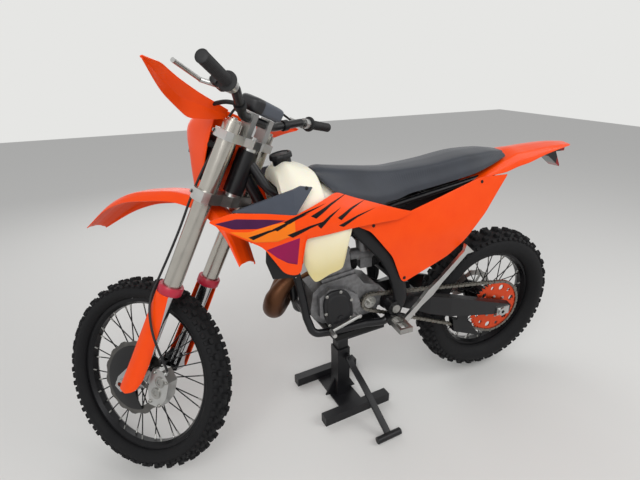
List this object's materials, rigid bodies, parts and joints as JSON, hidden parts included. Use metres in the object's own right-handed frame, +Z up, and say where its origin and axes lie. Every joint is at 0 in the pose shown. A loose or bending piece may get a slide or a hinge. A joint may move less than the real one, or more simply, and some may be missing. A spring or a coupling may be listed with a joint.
{
  "type": "enduro motorcycle on a paddock lift stand",
  "caption": "Two-stroke enduro motorcycle with knobbly tyres and orange panels, its steering turned right, held up under the frame by a black lift stand.",
  "frame": {"origin": "on the floor under the lift stand, at the underside of its cross plate, in the bike's centre plane", "axes": "+X forward, +Y to the bike's left, +Z up"},
  "size_m": [2.0825, 0.7083, 1.4266],
  "materials": {
    "stand_paint": "satin black powder coat",
    "stand_rubber": "matt",
    "frame_paint": "satin black paint",
    "black_plastic": "matt moulded",
    "grey_plastic": "matt moulded",
    "orange_plastic": "glossy moulded",
    "translucent_plastic": "ivory, slightly see-through",
    "seat_cover": "dark grey grip vinyl",
    "engine_metal": "cast",
    "cover_metal": "black cast cover",
    "bare_aluminium": "machined and forged",
    "steel": "bright steel",
    "exhaust_steel": "heat-tinted steel",
    "fork_tube": "clear anodised",
    "chrome_rod": "polished",
    "tyre": "matt rubber",
    "rim_black": "black anodised",
    "sprocket": "orange-red anodised",
    "chain_steel": "oiled",
    "lamp_glass": "clear lens",
    "lamp_red": "red lens",
    "spring": "white powder coat"
  },
  "bodies": {
    "root": {"airbox": "black_plastic", "carburettor": "engine_metal", "chain": "chain_steel", "chain_guide": "black_plastic", "cylinder": "engine_metal", "drive_sprocket": "steel", "engine_cases": "engine_metal", "exhaust_chamber": "exhaust_steel", "foot_levers": "bare_aluminium", "footpegs": "steel", "fuel_tank": "translucent_plastic", "ignition_cover": "cover_metal", "lift_stand": "stand_paint", "main_frame": "frame_paint", "pivot_bolt": "steel", "radiators": "bare_aluminium", "rear_axle": "bare_aluminium", "rear_caliper": "bare_aluminium", "rear_fender": "orange_plastic", "seat": "seat_cover", "shock": "spring", "shroud_caps": "grey_plastic", "shroud_left": "orange_plastic", "shroud_right": "orange_plastic", "side_panel_left": "orange_plastic", "side_panel_right": "orange_plastic", "silencer": "bare_aluminium", "stand_column": "stand_paint", "stand_lever": "stand_paint", "stand_pad": "stand_rubber", "subframe": "frame_paint", "swingarm": "frame_paint", "tail_lamp": "lamp_red"},
    "steering": {"fork_outer_tubes": "fork_tube", "fork_inner_tubes": "chrome_rod", "front_axle": "bare_aluminium", "fork_clamps": "bare_aluminium", "handlebar": "frame_paint", "grips": "stand_rubber", "hand_controls": "bare_aluminium", "hand_guards": "orange_plastic", "front_fender": "orange_plastic", "headlight_mask": "orange_plastic", "headlight": "lamp_glass", "fork_guards": "orange_plastic", "front_caliper": "bare_aluminium", "bar_pad": "grey_plastic", "front_brake_hose": "black_plastic"},
    "front_wheel": {"front_tyre": "tyre", "front_rim": "rim_black", "front_disc": "steel"},
    "rear_wheel": {"rear_tyre": "tyre", "rear_rim": "rim_black", "rear_disc": "steel", "rear_sprocket": "sprocket"},
    "side_stand": {"side_stand": "bare_aluminium"}
  },
  "joints": [
    {"name": "steering_turn", "type": "hinge", "parent": "root", "child": "steering", "pos_m": [0.736, 0, 0.3463], "axis": [-0.4431, 0, 0.8965], "range_deg": [0, 92]},
    {"name": "front_wheel_spin", "type": "hinge", "parent": "steering", "child": "front_wheel", "pos_m": [0.77212, -0.04172, 0.36415], "axis": [0.6449, 0.6947, 0.3187], "continuous": true},
    {"name": "rear_wheel_spin", "type": "hinge", "parent": "root", "child": "rear_wheel", "pos_m": [-0.69, 0, 0.367], "axis": [0, 1, 0], "continuous": true},
    {"name": "side_stand_swing", "type": "hinge", "parent": "root", "child": "side_stand", "pos_m": [-0.19, 0.134, 0.446], "axis": [0, -1, 0], "range_deg": [0, 145]}
  ]
}
